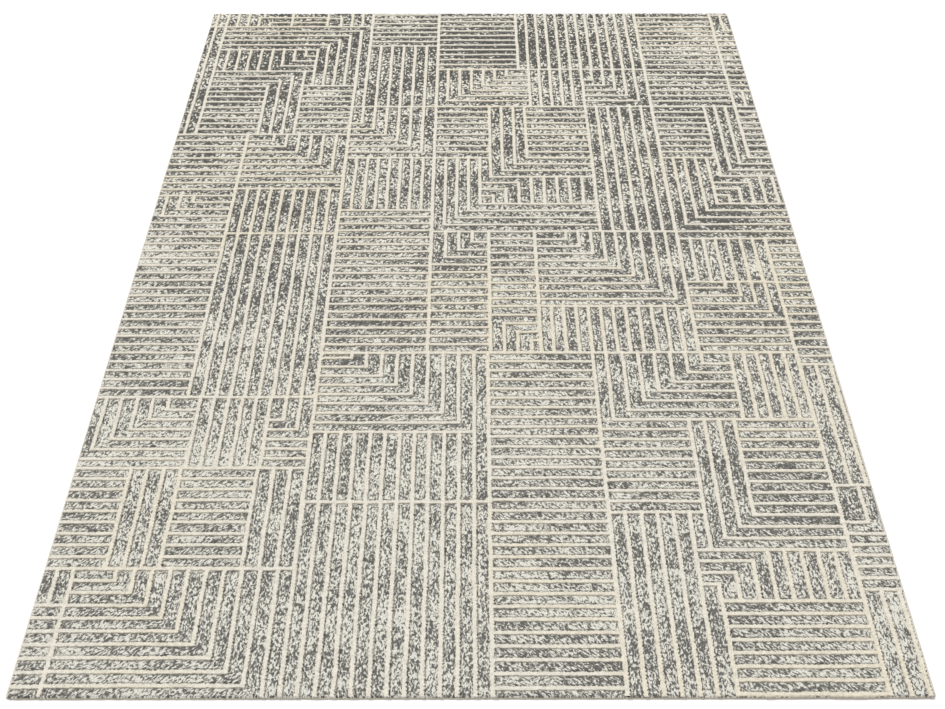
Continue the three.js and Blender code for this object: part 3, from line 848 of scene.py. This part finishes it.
def yarn(name, dark, light, twist, roughness):
    """Plied yarn or thread: slanting plies, with painted shade in the grooves between them."""
    material, nodes, links, shader = new_material(name)
    where = nodes.new("ShaderNodeTexCoord").outputs["Object"]
    parts = parts_of(nodes, links, where)
    slant = maths(nodes, links, "ADD", parts["X"], parts["Y"])
    slant = maths(nodes, links, "MULTIPLY_ADD", parts["Z"], 0.6, slant)
    plies = maths(nodes, links, "SINE", maths(nodes, links, "MULTIPLY", slant, 2 * math.pi / twist))
    fibres = noise(nodes, links, where, 900, detail=3.0)
    tone = maths(nodes, links, "MULTIPLY_ADD", plies, 0.16, fibres)
    links.new(ramp(nodes, links, tone, [(0.3, dark), (0.65, light)]), shader.inputs["Base Color"])
    shader.inputs["Roughness"].default_value = roughness
    shader.inputs["Sheen Weight"].default_value = 0.15
    height = maths(nodes, links, "MULTIPLY_ADD", plies, 0.4, fibres)
    bumped(nodes, links, shader, height, 0.0003, 0.7)
    return material


STITCH_PITCH = 0.0052
STITCH_LAP = 1.08  # a stitch's length, as a share of its pitch
STITCH_SLANT = 7  # degrees
thread = yarn("sewing_thread", (0.62, 0.55, 0.43), (0.86, 0.80, 0.68), 0.0009, 0.75)
for end in ("near", "far"):
    seam_low, seam_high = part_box(end + "_hem_stitching")
    middle = (seam_low + seam_high) / 2
    stitches = int((seam_high.x - seam_low.x) / STITCH_PITCH)
    first_x = middle.x - (stitches - 1) / 2 * STITCH_PITCH
    bpy.ops.mesh.primitive_uv_sphere_add(segments=8, ring_count=6, radius=0.5, location=(0, 0, 0))
    seam = bpy.context.object
    seam.name = end + "_hem_lockstitches"
    seam.data.name = seam.name
    bpy.ops.object.mode_set(mode="EDIT")
    bpy.ops.mesh.select_all(action="SELECT")
    bpy.ops.transform.rotate(value=math.radians(90), orient_axis="Y", center_override=(0, 0, 0))
    seam_size = seam_high - seam_low
    bpy.ops.transform.resize(value=(STITCH_PITCH * STITCH_LAP, seam_size.y, seam_size.z))
    bpy.ops.transform.rotate(value=math.radians(STITCH_SLANT), orient_axis="Z", center_override=(0, 0, 0))
    bpy.ops.transform.translate(value=(first_x, middle.y, middle.z))
    bpy.ops.object.mode_set(mode="OBJECT")
    repeated(seam, stitches, (STITCH_PITCH, 0, 0))
    seam.data.polygons.foreach_set("use_smooth", np.ones(len(seam.data.polygons), bool))
    seam.data.materials.append(thread)
    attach(seam, "root")
    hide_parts(end + "_hem_stitching")


# ---------------------------------------------------------------------------------------------
# Edge cords and serging: a three-ply cord lies along each long edge, and yarn is wrapped round it,
# turn after turn, through the edge of the weave.
CORD_PLY_TURN = 0.028  # the length in which a ply goes once round
CORD_RINGS = 0.0025
CORD_PLY_DEPTH = 0.1
WRAP_PITCH = 0.0024
WRAP_SEGMENTS = 12
WRAP_SIDES = 6
WRAP_YARN = 0.22  # the yarn's radius, as a share of half the edge's height
WRAP_SPREAD = 1.35  # how far a turn flattens past its own pitch
WRAP_LEG = 0.9  # how far a turn's two legs go inwards, in the same shares
WRAP_SLANT = 0.0005
WRAP_STRAY = (0.00012, 0.00025, 0.00006)

cord_yarn = yarn("edge_cord", (0.40, 0.31, 0.19), (0.62, 0.51, 0.34), 0.0016, 0.9)
serging_yarn = yarn("serging_yarn", (0.60, 0.55, 0.46), (0.84, 0.785, 0.68), 0.0013, 0.9)
edge_pieces = []
for side_name, outward in (("left", -1), ("right", 1)):
    cord_low, cord_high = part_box(side_name + "_edge_cord")
    middle = (cord_low + cord_high) / 2
    radius = (cord_high.z - cord_low.z) / 2
    half_length = (cord_high.y - cord_low.y) / 2
    bpy.ops.mesh.primitive_cylinder_add(vertices=12, radius=radius, depth=2 * half_length, location=(0, 0, 0))
    cord = bpy.context.object
    cord.name = side_name + "_edge_cord_twisted"
    cord.data.name = cord.name
    bpy.ops.object.mode_set(mode="EDIT")
    bpy.ops.mesh.select_mode(type="EDGE")
    bpy.ops.mesh.select_all(action="DESELECT")
    bpy.ops.object.mode_set(mode="OBJECT")
    end_of = points_of(cord.data)[:, 2]
    runs_along = [abs(end_of[e.vertices[0]] - end_of[e.vertices[1]]) > half_length for e in cord.data.edges]
    cord.data.edges.foreach_set("select", runs_along)
    bpy.ops.object.mode_set(mode="EDIT")
    cuts = int(2 * half_length / CORD_RINGS)
    bpy.ops.mesh.subdivide_edgering(number_cuts=cuts, interpolation="LINEAR", smoothness=0)
    bpy.ops.mesh.select_mode(type="VERT")
    bpy.ops.object.mode_set(mode="OBJECT")
    places = points_of(cord.data)
    turn = np.arctan2(places[:, 1], places[:, 0]) - places[:, 2] * 2 * math.pi / CORD_PLY_TURN
    ply = 1 - CORD_PLY_DEPTH + CORD_PLY_DEPTH * np.cos(3 * turn)
    laid = np.stack([places[:, 0] * ply, places[:, 2], places[:, 1] * ply], axis=1) + np.array(middle)
    set_points(cord.data, rounded_corners(laid))
    cord.data.polygons.foreach_set("use_smooth", np.ones(len(cord.data.polygons), bool))
    bpy.ops.object.mode_set(mode="EDIT")
    bpy.ops.mesh.select_all(action="SELECT")
    bpy.ops.mesh.normals_make_consistent(inside=False)
    bpy.ops.object.mode_set(mode="OBJECT")
    cord.select_set(False)
    cord.data.materials.append(cord_yarn)
    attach(cord, "root")
    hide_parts(side_name + "_edge_cord")

    wrap_low, wrap_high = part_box(side_name + "_edge_serging")
    middle = (wrap_low + wrap_high) / 2
    size = wrap_high - wrap_low
    turns = int(size.y / WRAP_PITCH)
    thick = WRAP_PITCH / 2
    bpy.ops.mesh.primitive_torus_add(
        major_segments=WRAP_SEGMENTS, minor_segments=WRAP_SIDES, major_radius=1 - WRAP_YARN,
        minor_radius=WRAP_YARN, location=(0, 0, 0), rotation=(math.radians(90), 0, 0))
    wrap = bpy.context.object
    wrap.name = side_name + "_edge_serging_turns"
    wrap.data.name = wrap.name
    bpy.ops.object.transform_apply(location=True, rotation=True, scale=True)
    bpy.ops.object.mode_set(mode="EDIT")
    bpy.ops.mesh.select_all(action="SELECT")
    bpy.ops.mesh.bisect(plane_co=(0, 0, 0), plane_no=(outward, 0, 0), clear_inner=True, clear_outer=False)
    bpy.ops.mesh.select_all(action="DESELECT")
    bpy.ops.object.mode_set(mode="OBJECT")
    cut = abs(points_of(wrap.data)[:, 0]) < WRAP_YARN / 100
    wrap.data.vertices.foreach_set("select", cut)
    wrap.data.edges.foreach_set("select", [cut[e.vertices[0]] and cut[e.vertices[1]] for e in wrap.data.edges])
    bpy.ops.object.mode_set(mode="EDIT")
    bpy.ops.mesh.extrude_region_move(TRANSFORM_OT_translate={"value": (-outward * WRAP_LEG, 0, 0)})
    bpy.ops.mesh.fill_holes(sides=0)
    bpy.ops.mesh.select_all(action="SELECT")
    bpy.ops.mesh.normals_make_consistent(inside=False)
    bpy.ops.object.mode_set(mode="OBJECT")
    places = points_of(wrap.data)
    places[:, 0] = places[:, 0] * outward
    span = places[:, 0].max() - places[:, 0].min()
    places[:, 0] = (places[:, 0] - places[:, 0].min()) / span * size.x
    places[:, 0] += wrap_low.x if outward > 0 else -wrap_high.x
    places[:, 0] *= outward
    places[:, 1] = places[:, 1] / abs(places[:, 1]).max() * thick * WRAP_SPREAD
    places[:, 1] += WRAP_SLANT * np.sign(places[:, 2]) * (1 - abs(places[:, 2]))
    places[:, 2] = middle.z + places[:, 2] / abs(places[:, 2]).max() * size.z / 2
    places[:, 1] += middle.y - (turns - 1) / 2 * WRAP_PITCH
    set_points(wrap.data, places)
    repeated(wrap, turns, (0, WRAP_PITCH, 0))
    places = points_of(wrap.data)
    each = np.repeat(chance.uniform(-1, 1, (turns, 3)), len(places) // turns, axis=0)
    places += each * WRAP_STRAY
    places[:, 2] = np.maximum(places[:, 2], wrap_low.z)
    set_points(wrap.data, rounded_corners(places))
    wrap.data.polygons.foreach_set("use_smooth", np.ones(len(wrap.data.polygons), bool))
    wrap.data.materials.append(serging_yarn)
    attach(wrap, "root")
    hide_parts(side_name + "_edge_serging")
    edge_pieces += [cord, wrap]


# ---------------------------------------------------------------------------------------------
# Floor and light: a pale studio floor, a soft high light from the far left, and fill all round.
FLOOR_SIZE = 400
SUN_FALL = Vector((0.62, -0.4, -1.3))
bpy.ops.mesh.primitive_plane_add(size=FLOOR_SIZE, location=(0, 0, 0))
floor = bpy.context.object
floor.name = "studio_floor"
material, nodes, links, shader = new_material("studio_floor")
shader.inputs["Base Color"].default_value = (0.98, 0.98, 0.98, 1)
shader.inputs["Roughness"].default_value = 1.0
shader.inputs["Specular IOR Level"].default_value = 0.0
floor.data.materials.append(material)

bpy.ops.object.light_add(type="SUN", location=(-2, 2, 3))
sun = bpy.context.object
sun.data.energy = 2.3
sun.data.angle = math.radians(14)
sun.rotation_euler = SUN_FALL.to_track_quat("-Z", "Y").to_euler()
world = bpy.data.worlds.new("studio")
bpy.context.scene.world = world
world.use_nodes = True
sky = world.node_tree.nodes["Background"]
sky.inputs["Color"].default_value = (1, 1, 1, 1)
sky.inputs["Strength"].default_value = 0.54
bpy.context.scene.view_settings.view_transform = "Standard"
